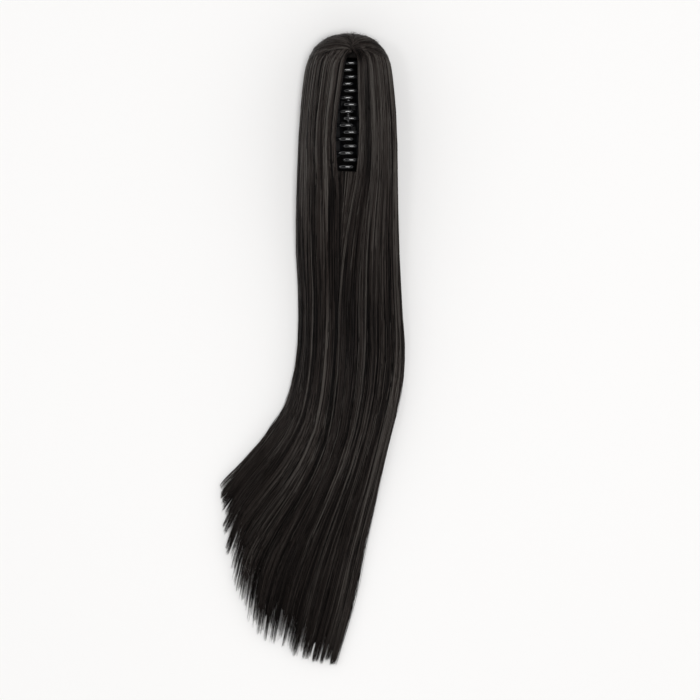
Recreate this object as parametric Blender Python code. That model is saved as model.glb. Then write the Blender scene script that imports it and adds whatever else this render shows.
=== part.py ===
"""Ponytail hairpiece on a claw clip, lying on its back with the teeth of the claw up.

X is to the right and Y towards the crown, seen from above. Z is up, and the hair rests on z = 0.
Tables are in millimetres; everything that is built from them is in metres.
"""

import math
from collections import namedtuple

import bmesh
import bpy
from mathutils import Vector

MM = 0.001

# Claw clip
CLAW_CENTRE = Vector((35.0, 217.5, 21.0)) * MM  # middle of the hinge axis, which runs along Y
TEETH_PER_JAW = 8
TOOTH_PITCH = 12.9 * MM
TOOTH_WIDTH = 3.4 * MM
TOOTH_TIP_WIDTH = 2.2 * MM
TOOTH_TIP_THICKNESS = 1.6 * MM
TOOTH_RIDGE = 0.5 * MM  # how far the edges of a tooth fall below its middle line
JAW_THICKNESS = 2.4 * MM
JAW_RADIUS = 28.3 * MM  # middle of the teeth, round the hinge axis
JAW_OVERHANG = 0.3 * MM  # wall past the last tooth
TOOTH_TIP_ANGLE = 101.0  # degrees from the side, over the top
TOOTH_TIP_BEND = 1.6 * MM  # how far the tip of a tooth turns in
TOOTH_BEND_POWER = 6  # the higher, the nearer to its tip a tooth turns in
TOOTH_STEPS = 6
LEVER_HALF_WIDTH = 18.5 * MM  # before the taper of the jaw towards its hinge

# Hinge
LUG_RADIUS = 3.4 * MM
LUG_ARC_START = 40.0  # degrees from the jaw's side: the neck joins the ring there
LUG_LENGTH = 4.0 * MM
LUG_NECK_HALF = 1.9 * MM
LUG_NECK_REACH = 6.8 * MM
LUG_STARTS = (-14.0 * MM, 5.4 * MM)  # along Y, on the right jaw
PIN_RADIUS = 1.4 * MM
PIN_HEAD_RADIUS = 2.6 * MM
PIN_HEAD_LENGTH = 0.9 * MM
FIT_GAP = 0.3 * MM
SPRING_RADIUS = 2.2 * MM
SPRING_WIRE_RADIUS = 0.45 * MM
SPRING_TURNS = 6
SPRING_STEPS = 10  # facets in a turn
SPRING_HALF_LENGTH = 4.35 * MM
ROUND_SIDES = 20

# Jaw profile from the lever's tip to the top of the wall. "out" is away from the hinge axis and "up"
# is above it. "reach" scales the length along Y, so the jaw narrows towards its hinge.
JawRow = namedtuple("JawRow", "name out up reach")
JAW_ROWS = (
    JawRow("lever_tip", 12.7, -8.9, 0.66),
    JawRow("lever_pad", 11.2, -7.9, 0.74),
    JawRow("lever_neck", 8.8, -5.0, 0.66),
    JawRow("lever_root", 6.7, -1.8, 0.70),
    JawRow("spine", 6.4, 0.2, 0.72),
    JawRow("spine_top", 8.4, 1.7, 0.74),
    JawRow("wall_low", 13.2, 2.8, 0.82),
    JawRow("wall_middle", 18.6, 5.4, 0.92),
    JawRow("wall_high", 22.5, 9.8, 0.99),
    JawRow("wall_top", 24.2, 14.6, 1.0),
)
LEVER_ROWS = 4

# Hair
HAIR_GAP = 0.35 * MM  # between neighbouring bodies of hair
BACK_HEIGHT = 3.35 * MM  # middle height of the joint between the back layer and the two sides
BACK_SLOPE = 0.0056  # rise of that joint per metre of Y
POCKET_RADIUS = 30.0 * MM  # hollow round the claw, in which the jaws open
POCKET_FLOOR_POINTS = 5  # of the hollow's outline, from its foot to the outer edge
DOME_POWER = 2.4  # roundness of the hair's cross-section
EDGE_CROWDING = 1.35  # locks get narrower towards the outer edge
LOCKS_LEFT = 7
LOCKS_RIGHT = 8
LOCKS_BACK = 9
TOP_STEPS = 3  # facets across the top of a lock
UNDER_STEPS = 2
TIP_WIDTH_SHARE = 0.15
TIP_THICKNESS = 1.2 * MM

# Where the hair runs, from the crown to the tips. "mid" is the parting between the two sides and, at
# the claw, the hinge axis. "left" and "right" are the outer edges and "crest" is the greatest height.
# "lip_left" and "lip_right" are how far the slot over the claw is open to either side of the axis, and
# above and below the slot how far the locks stay apart, with the innermost lock filling the space.
Station = namedtuple(
    "Station", "name mid_x mid_y left_x left_y right_x right_y crest lip_left lip_right"
)
STATIONS = (
    Station("crown_top", 38.5, 282.0, 39.3, 295.3, 39.3, 295.3, 48.0, 0, 0),
    Station("crown_high", 38.5, 279.2, 18.8, 292.3, 57.3, 290.0, 51.0, 0, 0),
    Station("crown_low", 38.5, 276.4, 5.6, 283.9, 66.3, 282.0, 53.0, 1.0, 2.5),
    Station("crown_side", 38.5, 273.5, 0.5, 276.0, 70.5, 275.0, 54.0, 2.5, 6.0),
    Station("slot_top", 35.0, 270.3, -1.9, 270.3, 72.4, 270.3, 54.5, 2.5, 7.0),
    Station("slot_high", 35.0, 247.7, -6.1, 247.0, 75.2, 247.0, 54.5, 5.0, 8.6),
    Station("slot_middle", 35.0, 216.7, -8.5, 216.0, 77.6, 216.0, 54.0, 10.2, 10.0),
    Station("slot_low", 35.0, 186.6, -9.9, 186.6, 78.5, 186.6, 53.5, 11.5, 9.3),
    Station("slot_bottom", 35.0, 165.2, -10.8, 165.2, 79.0, 165.2, 53.0, 9.8, 7.8),
    Station("parting", 35.7, 162.4, -11.0, 162.4, 79.0, 162.4, 52.0, 9.6, 7.6),
    Station("neck", 32.4, 135.0, -11.9, 134.0, 79.4, 135.0, 45.0, 6.0, 5.0),
    Station("tail_1", 28.7, 92.6, -11.9, 93.5, 80.4, 92.6, 36.0, 2.5, 2.0),
    Station("tail_2", 26.3, 45.6, -9.4, 49.4, 82.7, 43.7, 30.0, 0, 0),
    Station("tail_3", 24.9, 0.5, -9.9, 8.0, 85.1, -3.3, 27.0, 0, 0),
    Station("tail_4", 21.6, -43.7, -13.9, -25.9, 81.2, -46.5, 25.0, 0, 0),
    Station("tail_5", 14.1, -88.8, -22.6, -55.9, 69.6, -92.6, 22.0, 0, 0),
    Station("ends_1", 1.9, -133.0, -37.6, -78.5, 59.2, -137.7, 17.5, 0, 0),
    Station("ends_2", -14.1, -175.3, -54.0, -100.1, 48.2, -184.7, 12.5, 0, 0),
    Station("ends_3", -32.9, -212.0, -68.6, -118.0, 38.5, -234.5, 8.5, 0, 0),
    Station("tips", -56.4, -249.0, -82.5, -134.0, 24.6, -293.0, 5.0, 0, 0),
)
SLOT_FIRST = 4  # rows of STATIONS between which the slot over the claw is open
SLOT_LAST = 8
CROWN_RINGS = (0, 0.5, 1, 2, 3)
SLOT_RINGS = (4, 4.5, 5, 5.5, 6, 6.5, 7, 8)
TAIL_RINGS = tuple(9 + 0.5 * step for step in range(14))
TIP_RINGS = (16, 16.5, 17, 17.3, 17.6, 17.9, 18.2, 18.5, 18.8, 19)
SIDE_RINGS = CROWN_RINGS + SLOT_RINGS + TAIL_RINGS + TIP_RINGS
SPLIT_FIRST = 16.5  # the locks come apart from here on, one after another
SPLIT_SPREAD = (0, 3, 1, 4, 2)  # rings past the first
BACK_SPLIT_SHIFT = 2  # the back layer starts this far on in SPLIT_SPREAD

# The top end of the back layer, above the slot: the same columns as in STATIONS.
BackRow = namedtuple("BackRow", "mid_x mid_y left_x left_y right_x right_y")
BACK_ROWS = (
    BackRow(39.3, 294.2, 31.0, 293.5, 47.0, 293.0),
    BackRow(38.0, 290.0, 17.0, 288.0, 60.0, 286.5),
    BackRow(36.5, 280.0, 6.0, 278.0, 68.0, 277.5),
    BackRow(35.0, 262.0, -2.5, 262.0, 72.5, 262.0),
)
BACK_INSET = 1.2 * MM
BACK_GROOVE = 0.7 * MM  # between the locks on the underside
BACK_RINGS = (-4, -3, -2, -1, 5, 6, 7, 8, *range(9, 16), *TIP_RINGS)
FLAT_SPREAD = 1.6  # how much wider the flat of a back lock is than one of its three facets
LINE_WANDER = 0.25  # of the width of a lock
WANDER_BY_LINE = 1.9  # radians by which the wander of a line is ahead of its neighbour's
WANDER_BY_ROW = 0.55  # radians of wander in a row of STATIONS
FIRST_NARROWING = 0.1  # how far a lock draws in where it comes free, before it tapers
FIRST_NARROWING_END = 0.25  # share of the free length in which it draws in that far
TIP_POWER = 3.0  # of the taper
LOCK_RIDGE = 2.4 * MM
RIDGE_LEVEL = 0.5  # share of a ridge that lies below the dome
RIDGE_AT_CROWN = 0.35  # the ridges are this share of their height at the crown
RIDGE_GAIN = 0.13  # and grow by this share in each row of STATIONS
LOCK_FULL_HEIGHT = 12.0 * MM  # a bundle lower than this has lower ridges
EDGE_THICKNESS = 1.5 * MM

# How much longer or shorter than the others the free ends of the locks are, from the parting to the
# outer edge on both sides, and from left to right in the back layer.
STRETCHES_LEFT = (0.05, -0.05, 0.06, -0.03, 0.06, -0.04, 0.09)
STRETCHES_RIGHT = (0.05, 0.12, 0.08, 0.14, 0.09, 0.13, 0.06, 0.08)
STRETCHES_BACK = (-0.06, -0.02, -0.1, 0.0, -0.08, -0.02, -0.09, -0.03, -0.07)


def clear_scene():
    for thing in list(bpy.data.objects):
        bpy.data.objects.remove(thing, do_unlink=True)


def material(name, colour, roughness, metallic=0.0):
    made = bpy.data.materials.new(name)
    made.use_nodes = True
    shader = made.node_tree.nodes["Principled BSDF"]
    shader.inputs["Base Color"].default_value = (*colour, 1.0)
    shader.inputs["Roughness"].default_value = roughness
    shader.inputs["Metallic"].default_value = metallic
    return made


def finish_object(name, body, surface, place=Vector((0.0, 0.0, 0.0)), turn=0.0):
    """Turns a bmesh into an object with its faces outwards."""
    bmesh.ops.recalc_face_normals(body, faces=body.faces)
    mesh = bpy.data.meshes.new(name)
    body.to_mesh(mesh)
    body.free()
    mesh.materials.append(surface)
    thing = bpy.data.objects.new(name, mesh)
    thing.location = place
    thing.rotation_euler = (0.0, 0.0, turn)
    bpy.context.scene.collection.objects.link(thing)
    return thing


def prism_along_y(body, outline, start, length):
    """Adds a closed prism: outline is a list of (x, z), and the prism runs along Y."""
    ends = []
    for y in (start, start + length):
        ends.append([body.verts.new((x, y, z)) for x, z in outline])
    count = len(outline)
    for i in range(count):
        j = (i + 1) % count
        body.faces.new((ends[0][i], ends[0][j], ends[1][j], ends[1][i]))
    body.faces.new(ends[0])
    body.faces.new(ends[1])


def circle(radius, sides, first=0.0, last=360.0):
    """Points (x, z) of a circle, or of an arc with both its ends, angles in degrees."""
    whole = last - first >= 360.0
    count = sides if whole else sides + 1
    angles = [math.radians(first + (last - first) * i / sides) for i in range(count)]
    return [(radius * math.cos(a), radius * math.sin(a)) for a in angles]


def helper(name, body, place, turn):
    """An object that only cuts or joins another one."""
    thing = finish_object(name, body, None, place, turn)
    thing.hide_render = True
    thing.display_type = "WIRE"
    return thing


def boolean(thing, other, operation):
    modifier = thing.modifiers.new(operation.title(), "BOOLEAN")
    modifier.operation = operation
    modifier.solver = "EXACT"
    modifier.object = other


def jaw_path():
    """Points (out, up, reach) of the jaw's profile, from the lever's tip over the wall to the tip
    of a tooth, and the number of the row at which the wall ends."""
    rows = [(row.out * MM, row.up * MM, row.reach) for row in JAW_ROWS]
    wall_end = len(rows) - 1
    first = math.degrees(math.atan2(rows[-1][1], rows[-1][0]))
    for step in range(1, TOOTH_STEPS + 1):
        share = step / TOOTH_STEPS
        angle = math.radians(first + (TOOTH_TIP_ANGLE - first) * share)
        radius = JAW_RADIUS - TOOTH_TIP_BEND * share**TOOTH_BEND_POWER
        rows.append((radius * math.cos(angle), radius * math.sin(angle), 1.0))
    return rows, wall_end


def jaw_columns():
    """Lines across the jaw, along Y: (y, the tooth's middle or None), and which gaps are teeth."""
    half_span = TOOTH_PITCH * (TEETH_PER_JAW - 1) / 2
    shift = TOOTH_PITCH / 4
    middles = [half_span + shift - TOOTH_PITCH * i for i in range(TEETH_PER_JAW)]
    end = half_span + shift + TOOTH_WIDTH / 2 + JAW_OVERHANG
    lines = {-end: None, end: None}
    for middle in middles:
        for side in (-1, 0, 1):
            lines[middle + side * TOOTH_WIDTH / 2] = middle
    for side in (-1, 1):
        lines[side * LEVER_HALF_WIDTH] = None
    return sorted(lines.items())


def build_jaw(name, surface, turn):
    """A comb-like wall with the lever below its hinge and the teeth above, as a slab of cells:
    the lever's and the teeth's rows hold only some of the columns."""
    rows, wall_end = jaw_path()
    columns = jaw_columns()
    normals = []
    for i in range(len(rows)):
        before, after = rows[max(i - 1, 0)], rows[min(i + 1, len(rows) - 1)]
        along = Vector((after[0] - before[0], 0.0, after[1] - before[1])).normalized()
        normals.append(Vector((along.z, 0.0, -along.x)))

    def has_cell(i, j):
        """Whether there is material between rows i and i + 1 and lines j and j + 1."""
        if not (0 <= i < len(rows) - 1 and 0 <= j < len(columns) - 1):
            return False
        y = (columns[j][0] + columns[j + 1][0]) / 2
        if i < LEVER_ROWS:
            return abs(y) < LEVER_HALF_WIDTH
        if i < wall_end:
            return True
        return any(m is not None and abs(y - m) < TOOTH_WIDTH / 2 for _, m in columns)

    body = bmesh.new()
    points = {}

    def corner(i, j, side):
        key = (i, j, side)
        if key not in points:
            out, up, reach = rows[i]
            y, middle = columns[j]
            thickness = JAW_THICKNESS
            fall = 0.0
            if i > wall_end:
                share = (i - wall_end) / TOOTH_STEPS
                thickness += (TOOTH_TIP_THICKNESS - JAW_THICKNESS) * share
                width = 1 + (TOOTH_TIP_WIDTH / TOOTH_WIDTH - 1) * share
                fall = TOOTH_RIDGE if y != middle else 0.0
                y = middle + (y - middle) * width
            offset = side * (thickness / 2 - fall)
            place = Vector((out, y * reach, up)) + normals[i] * offset
            points[key] = body.verts.new(place)
        return points[key]

    for i in range(len(rows) - 1):
        for j in range(len(columns) - 1):
            if not has_cell(i, j):
                continue
            around = ((i, j), (i + 1, j), (i + 1, j + 1), (i, j + 1))
            for side in (-1, 1):
                body.faces.new([corner(*at, side) for at in around])
            edges = (
                ((i, j), (i + 1, j), (i, j - 1)),
                ((i, j + 1), (i + 1, j + 1), (i, j + 1)),
                ((i, j), (i, j + 1), (i - 1, j)),
                ((i + 1, j), (i + 1, j + 1), (i + 1, j)),
            )
            for a, b, neighbour in edges:
                if not has_cell(*neighbour):
                    body.faces.new((corner(*a, -1), corner(*b, -1), corner(*b, 1), corner(*a, 1)))

    jaw = finish_object(name, body, surface, CLAW_CENTRE, turn)
    lug_body = bmesh.new()
    outline = circle(LUG_RADIUS, ROUND_SIDES, LUG_ARC_START, 360.0 - LUG_ARC_START)
    outline += [(LUG_NECK_REACH, -LUG_NECK_HALF), (LUG_NECK_REACH, LUG_NECK_HALF)]
    for start in LUG_STARTS:
        prism_along_y(lug_body, outline, start, LUG_LENGTH)
    boolean(jaw, helper(name + "_lugs", lug_body, CLAW_CENTRE, turn), "UNION")
    bore_body = bmesh.new()
    reach = 2 * LEVER_HALF_WIDTH
    prism_along_y(bore_body, circle(PIN_RADIUS + FIT_GAP, ROUND_SIDES), -reach, 2 * reach)
    boolean(jaw, helper(name + "_bore", bore_body, CLAW_CENTRE, turn), "DIFFERENCE")
    return jaw


def build_pin(surface):
    """A straight pin with a low head at both ends."""
    half = max(abs(LUG_STARTS[0]), LUG_STARTS[1] + LUG_LENGTH) + FIT_GAP
    profile = (
        (-half - PIN_HEAD_LENGTH, PIN_HEAD_RADIUS),
        (-half, PIN_HEAD_RADIUS),
        (-half, PIN_RADIUS),
        (half, PIN_RADIUS),
        (half, PIN_HEAD_RADIUS),
        (half + PIN_HEAD_LENGTH, PIN_HEAD_RADIUS),
    )
    body = bmesh.new()
    rings = []
    for y, radius in profile:
        rings.append([body.verts.new((x, y, z)) for x, z in circle(radius, ROUND_SIDES)])
    for ring, following in zip(rings, rings[1:]):
        for i in range(ROUND_SIDES):
            j = (i + 1) % ROUND_SIDES
            body.faces.new((ring[i], ring[j], following[j], following[i]))
    body.faces.new(rings[0])
    body.faces.new(rings[-1])
    return finish_object("hinge_pin", body, surface, CLAW_CENTRE)


def build_spring(surface):
    """A coil round the pin, between the lugs."""
    steps = SPRING_STEPS * SPRING_TURNS
    curve = bpy.data.curves.new("torsion_spring", "CURVE")
    curve.dimensions = "3D"
    curve.bevel_depth = SPRING_WIRE_RADIUS
    curve.bevel_resolution = 1
    curve.use_fill_caps = True
    spline = curve.splines.new("POLY")
    spline.points.add(steps)
    for i in range(steps + 1):
        angle = math.tau * SPRING_TURNS * i / steps
        y = SPRING_HALF_LENGTH * (2 * i / steps - 1)
        x, z = SPRING_RADIUS * math.cos(angle), SPRING_RADIUS * math.sin(angle)
        spline.points[i].co = (x, y, z, 1.0)
    curve.materials.append(surface)
    thing = bpy.data.objects.new("torsion_spring", curve)
    thing.location = CLAW_CENTRE
    bpy.context.scene.collection.objects.link(thing)
    return thing


def between(column, t):
    """A smooth value of one column of STATIONS at row number t."""
    i = min(int(t), len(STATIONS) - 2)
    s = t - i
    rows = [STATIONS[min(max(i + k, 0), len(STATIONS) - 1)] for k in (-1, 0, 1, 2)]
    a, b, c, d = (getattr(row, column) for row in rows)
    bend = 2 * a - 5 * b + 4 * c - d
    return 0.5 * (2 * b + (c - a) * s + bend * s**2 + (3 * b - a - 3 * c + d) * s**3)


def plan_point(name, t):
    return Vector((between(name + "_x", t), between(name + "_y", t))) * MM


def is_open(t):
    return SLOT_FIRST <= t <= SLOT_LAST


def joint_height(y):
    """Height of the flat joint between the back layer and the two sides."""
    return BACK_HEIGHT + BACK_SLOPE * y


def inner_edge(side, t):
    """Where a side of the hair begins: at the parting or, over the claw, at the slot's lip."""
    middle = plan_point("mid", t)
    if is_open(t):
        lip = between("lip_left" if side < 0 else "lip_right", t) * MM
        return Vector((CLAW_CENTRE.x + side * lip, middle.y))
    return middle + Vector((side * HAIR_GAP / 2, 0.0))


def side_plan(side, u, t):
    """Plan position in one side of the hair: u is 0 at the innermost lock and 1 at the outer edge."""
    lip = between("lip_left" if side < 0 else "lip_right", t) * MM
    inner = plan_point("mid", t) + Vector((side * lip, 0.0))
    outer = plan_point("left" if side < 0 else "right", t)
    return inner.lerp(outer, u)


def dome_height(place, t):
    """Height of the hair's top at a plan position, without its locks."""
    middle = plan_point("mid", t)
    left, right = plan_point("left", t), plan_point("right", t)
    span_left, span_right = (left - middle).length, (right - middle).length
    reach = (place - middle).length
    towards_right = (place - middle).dot(right - middle) > (place - middle).dot(left - middle)
    if t < SLOT_FIRST:
        share = reach / (span_right if towards_right else span_left)
    else:
        half = (span_left + span_right) / 2
        share = abs((reach if towards_right else -reach) - (span_right - half)) / half
    share = min(share, 1.0)
    floor = joint_height(place.y)
    crest = between("crest", t) * MM
    return floor + (crest - floor) * (1 - share**DOME_POWER) ** (1 / DOME_POWER)


def split_rings(rings, locks, shift):
    """For each line between two locks, and both edges, the last ring at which it is fused."""
    first = rings.index(SPLIT_FIRST)
    return [first + SPLIT_SPREAD[(line + shift) % len(SPLIT_SPREAD)] for line in range(locks + 1)]


class Bundle:
    """A body of hair made of locks that lie side by side. The locks are fused up to a ring of their
    own and run on freely from there, each to its tip."""

    def __init__(self, rings, locks, splits, stretches):
        self.rings = rings
        self.locks = locks
        self.splits = splits  # for each line between two locks, the last ring at which they are fused
        self.stretches = stretches  # how much longer than the others the free end of each lock is

    def last_fused(self, lock):
        return max(self.splits[lock], self.splits[lock + 1])

    def run(self, lock, i):
        """Row number in STATIONS that a lock has reached at ring i."""
        start = self.rings[self.last_fused(lock)]
        t = self.rings[i]
        return t if t <= start else start + (t - start) * (1 + self.stretches[lock])

    def freedom(self, line, i):
        """0 where a line between locks is still fused, and 1 at the tips."""
        start = self.splits[line]
        return max(0.0, (i - start) / (len(self.rings) - 1 - start))

    def line_place(self, line, lock, i):
        """Plan position of a line between locks, as the lock beside it has run on, with a slow wander."""
        t = self.run(lock, i)
        share = 1 - (1 - line / self.locks) ** self.crowding
        if 0 < line < self.locks:
            phase = WANDER_BY_LINE * line + WANDER_BY_ROW * t
            share += LINE_WANDER / self.locks * math.sin(phase)
        return self.plan(share, t)

    def place(self, lock, share, i):
        """Plan position of a point in a lock, the lock getting narrower towards its tip."""
        first, last = self.line_place(lock, lock, i), self.line_place(lock + 1, lock, i)
        middle = (first + last) / 2
        first = first.lerp(middle, self.narrowing(lock, i))
        last = last.lerp(middle, self.narrowing(lock + 1, i))
        return first.lerp(last, share)

    def narrowing(self, line, i):
        """Share by which a line has moved to the middle of its lock at ring i."""
        free = self.freedom(line, i)
        first = FIRST_NARROWING * min(1.0, free / FIRST_NARROWING_END)
        return first + (1 - FIRST_NARROWING - TIP_WIDTH_SHARE) * free**TIP_POWER

    def build(self, name, surface):
        body = bmesh.new()
        made = {}

        def vertex(kind, lock, i, step, steps):
            """A vertex, shared by two locks on the line between them as far as they are fused."""
            if step == steps and lock + 1 < self.locks and i <= self.splits[lock + 1]:
                lock, step = lock + 1, 0
            key = (kind, lock, i, step)
            if key not in made:
                make = self.top_point if kind == "top" else self.under_point
                made[key] = body.verts.new(make(lock, step / steps, i))
            return made[key]

        def top_row(lock, i):
            steps = self.top_steps
            return [vertex("top", lock, i, step, steps) for step in range(steps + 1)]

        def under_row(lock, i):
            steps = self.under_steps
            return [vertex("under", lock, i, step, steps) for step in range(steps + 1)]

        for lock in range(self.locks):
            for i in range(len(self.rings) - 1):
                for row in (top_row, under_row):
                    here, there = row(lock, i), row(lock, i + 1)
                    for step in range(len(here) - 1):
                        face = (here[step], here[step + 1], there[step + 1], there[step])
                        body.faces.new(face)
                for line, end in ((lock, 0), (lock + 1, -1)):
                    if line in (0, self.locks) or i >= self.splits[line]:
                        above = [top_row(lock, k)[end] for k in (i, i + 1)]
                        below = [under_row(lock, k)[end] for k in (i + 1, i)]
                        body.faces.new(above + below)
            for i in (0, len(self.rings) - 1):
                body.faces.new(top_row(lock, i) + under_row(lock, i)[::-1])
        return finish_object(name, body, surface)


class SideBundle(Bundle):
    """One of the two sides: it arches over the claw and lies on the back layer."""

    crowding = EDGE_CROWDING
    top_steps = TOP_STEPS
    under_steps = UNDER_STEPS

    def __init__(self, side, locks, stretches):
        super().__init__(SIDE_RINGS, locks, split_rings(SIDE_RINGS, locks, 0), stretches)
        self.side = side

    def plan(self, u, t):
        return side_plan(self.side, u, t) if u > 0 else inner_edge(self.side, t)

    def top_point(self, lock, share, i):
        t = self.run(lock, i)
        place = self.place(lock, share, i)
        lower = joint_height(place.y) + HAIR_GAP / 2
        tip = min(self.freedom(lock, i), self.freedom(lock + 1, i))
        full = max(dome_height(place, t) - lower, EDGE_THICKNESS)
        ridge = LOCK_RIDGE * (math.sin(math.pi * share) - RIDGE_LEVEL)
        ridge *= min(1.0, RIDGE_AT_CROWN + RIDGE_GAIN * t)
        height = max(full + ridge * min(1.0, full / LOCK_FULL_HEIGHT), EDGE_THICKNESS)
        return (place.x, place.y, lower + height + (TIP_THICKNESS - height) * tip**2)

    def under_point(self, lock, share, i):
        t = self.run(lock, i)
        if is_open(t):
            return self.pocket_point(lock * UNDER_STEPS + round(share * UNDER_STEPS), t)
        place = self.place(lock, share, i)
        return (place.x, place.y, joint_height(place.y) + HAIR_GAP / 2)

    def pocket_point(self, number, t):
        """A point of the hollow round the claw: over the top, down its side, then out to the edge."""
        count = self.locks * UNDER_STEPS
        arc_steps = count - POCKET_FLOOR_POINTS
        lip = between("lip_left" if self.side < 0 else "lip_right", t) * MM
        outer = plan_point("left" if self.side < 0 else "right", t)
        outer_reach = abs(outer.x - CLAW_CENTRE.x)
        height = None
        if number <= arc_steps:
            start = math.acos(lip / POCKET_RADIUS)
            angle = start * (1 - number / arc_steps)
            reach = POCKET_RADIUS * math.cos(angle)
            height = CLAW_CENTRE.z + POCKET_RADIUS * math.sin(angle)
        else:
            share = (number - arc_steps - 1) / (POCKET_FLOOR_POINTS - 1)
            reach = POCKET_RADIUS + (outer_reach - POCKET_RADIUS) * share
        y = plan_point("mid", t).y
        y += (outer.y - y) * (reach - lip) / (outer_reach - lip)
        if height is None:
            height = joint_height(y) + HAIR_GAP / 2
        return (CLAW_CENTRE.x + self.side * reach, y, height)


class BackBundle(Bundle):
    """The flat layer that the piece lies on."""

    crowding = 1.0
    top_steps = 2
    under_steps = 3

    def __init__(self, locks, stretches):
        super().__init__(BACK_RINGS, locks, split_rings(BACK_RINGS, locks, BACK_SPLIT_SHIFT), stretches)

    def plan(self, u, t):
        if t < 0:
            row = BACK_ROWS[int(t) + len(BACK_ROWS)]
            left, middle, right = (Vector((row[c], row[c + 1])) * MM for c in (2, 0, 4))
        else:
            left, middle, right = (plan_point(name, t) for name in ("left", "mid", "right"))
        first, second = (middle - left).length, (right - middle).length
        reach = BACK_INSET + (first + second - 2 * BACK_INSET) * u
        if reach < first:
            return left.lerp(middle, reach / first)
        return middle.lerp(right, (reach - first) / second)

    def top_point(self, lock, share, i):
        place = self.place(lock, share, i)
        return (place.x, place.y, joint_height(place.y) - HAIR_GAP / 2)

    def under_point(self, lock, share, i):
        """The middle of each lock is flat on the floor, and the lines between locks are grooves."""
        if share in (0, 1):
            return (*self.place(lock, share, i), BACK_GROOVE)
        share = 0.5 + (share - 0.5) * FLAT_SPREAD
        return (*self.place(lock, share, i), 0.0)


def main():
    clear_scene()
    hair = material("dark_hair", (0.018, 0.016, 0.015), 0.42)
    plastic = material("black_plastic", (0.008, 0.008, 0.009), 0.12)
    steel = material("steel_wire", (0.55, 0.55, 0.56), 0.3, 1.0)
    build_jaw("claw_jaw_right", plastic, 0.0)
    build_jaw("claw_jaw_left", plastic, math.pi)
    build_pin(steel)
    build_spring(steel)
    SideBundle(-1, LOCKS_LEFT, STRETCHES_LEFT).build("hair_left", hair)
    SideBundle(1, LOCKS_RIGHT, STRETCHES_RIGHT).build("hair_right", hair)
    BackBundle(LOCKS_BACK, STRETCHES_BACK).build("hair_back", hair)


if __name__ == "__main__":
    main()
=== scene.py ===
"""Dresses the ponytail hairpiece: its hair as thousands of strands, its claw clip and a plain studio.

X is to the right and Y towards the crown, seen from above. Z is up, and the hair rests on z = 0.
"""

import math

import bpy
import numpy as np
from bpy.props import FloatProperty, FloatVectorProperty, IntProperty, PointerProperty
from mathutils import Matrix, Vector


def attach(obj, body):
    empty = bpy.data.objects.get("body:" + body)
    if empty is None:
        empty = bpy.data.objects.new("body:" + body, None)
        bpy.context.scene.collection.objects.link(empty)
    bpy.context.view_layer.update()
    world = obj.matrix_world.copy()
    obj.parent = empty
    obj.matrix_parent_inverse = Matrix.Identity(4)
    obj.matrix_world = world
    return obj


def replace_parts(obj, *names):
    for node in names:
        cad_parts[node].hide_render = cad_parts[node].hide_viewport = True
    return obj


bl_info = {
    "name": "Ponytail hairpiece",
    "version": (1, 0, 0),
    "blender": (4, 5, 0),
    "location": "3D View > Sidebar > Hairpiece",
    "description": "Strands, claw clip and studio of a ponytail hairpiece",
    "category": "Add Mesh",
}

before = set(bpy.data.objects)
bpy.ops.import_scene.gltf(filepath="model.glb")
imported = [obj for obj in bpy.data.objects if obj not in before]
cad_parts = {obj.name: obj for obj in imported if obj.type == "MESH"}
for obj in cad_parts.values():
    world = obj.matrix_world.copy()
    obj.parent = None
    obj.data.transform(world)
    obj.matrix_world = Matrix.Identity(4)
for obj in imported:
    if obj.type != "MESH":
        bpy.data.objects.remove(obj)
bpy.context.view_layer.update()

MM = 0.001

# Where the hair runs, from the crown to the tips, in millimetres. "mid" is the parting between the two
# sides, "left" and "right" are the outer edges and "crest" is the greatest height. "lip_left" and
# "lip_right" are how far the slot over the claw is open to either side of the parting.
COLUMNS = "mid_x mid_y left_x left_y right_x right_y crest lip_left lip_right".split()
STATIONS = np.array(
    (
        (38.5, 282.0, 39.3, 295.3, 39.3, 295.3, 48.0, 0, 0),
        (38.5, 279.2, 18.8, 292.3, 57.3, 290.0, 51.0, 0, 0),
        (38.5, 276.4, 5.6, 283.9, 66.3, 282.0, 53.0, 1.0, 2.5),
        (38.5, 273.5, 0.5, 276.0, 70.5, 275.0, 54.0, 2.5, 6.0),
        (35.0, 270.3, -1.9, 270.3, 72.4, 270.3, 54.5, 2.5, 9.0),
        (35.0, 247.7, -6.1, 247.0, 75.2, 247.0, 54.5, 5.0, 8.6),
        (35.0, 216.7, -8.5, 216.0, 77.6, 216.0, 54.0, 10.2, 10.0),
        (35.0, 186.6, -9.9, 186.6, 78.5, 186.6, 53.0, 11.5, 9.3),
        (35.0, 165.2, -10.8, 165.2, 79.0, 165.2, 51.0, 9.8, 7.8),
        (35.7, 162.4, -11.0, 162.4, 79.0, 162.4, 50.6, 9.6, 7.6),
        (32.4, 135.0, -11.9, 134.0, 79.4, 135.0, 45.0, 6.0, 5.0),
        (28.7, 92.6, -11.9, 93.5, 80.4, 92.6, 36.0, 2.5, 2.0),
        (26.3, 45.6, -9.4, 49.4, 82.7, 43.7, 30.0, 0, 0),
        (24.9, 0.5, -9.9, 8.0, 85.1, -3.3, 27.0, 0, 0),
        (21.6, -43.7, -13.9, -25.9, 81.2, -46.5, 25.0, 0, 0),
        (14.1, -88.8, -22.6, -55.9, 69.6, -92.6, 22.0, 0, 0),
        (-5.0, -132.0, -37.6, -78.5, 59.2, -137.7, 17.5, 0, 0),
        (-29.0, -171.5, -54.0, -100.1, 48.2, -184.7, 12.5, 0, 0),
        (-47.5, -211.0, -68.6, -118.0, 38.5, -234.5, 8.5, 0, 0),
        (-55.0, -261.0, -84.0, -135.0, 22.0, -294.5, 5.0, 0, 0),
    )
)
LAST_ROW = len(STATIONS) - 1
SLOT_FIRST = 4  # rows between which the slot over the claw is open
SLOT_LAST = 8
NAMES = {-1: "left", 1: "right"}

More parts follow.
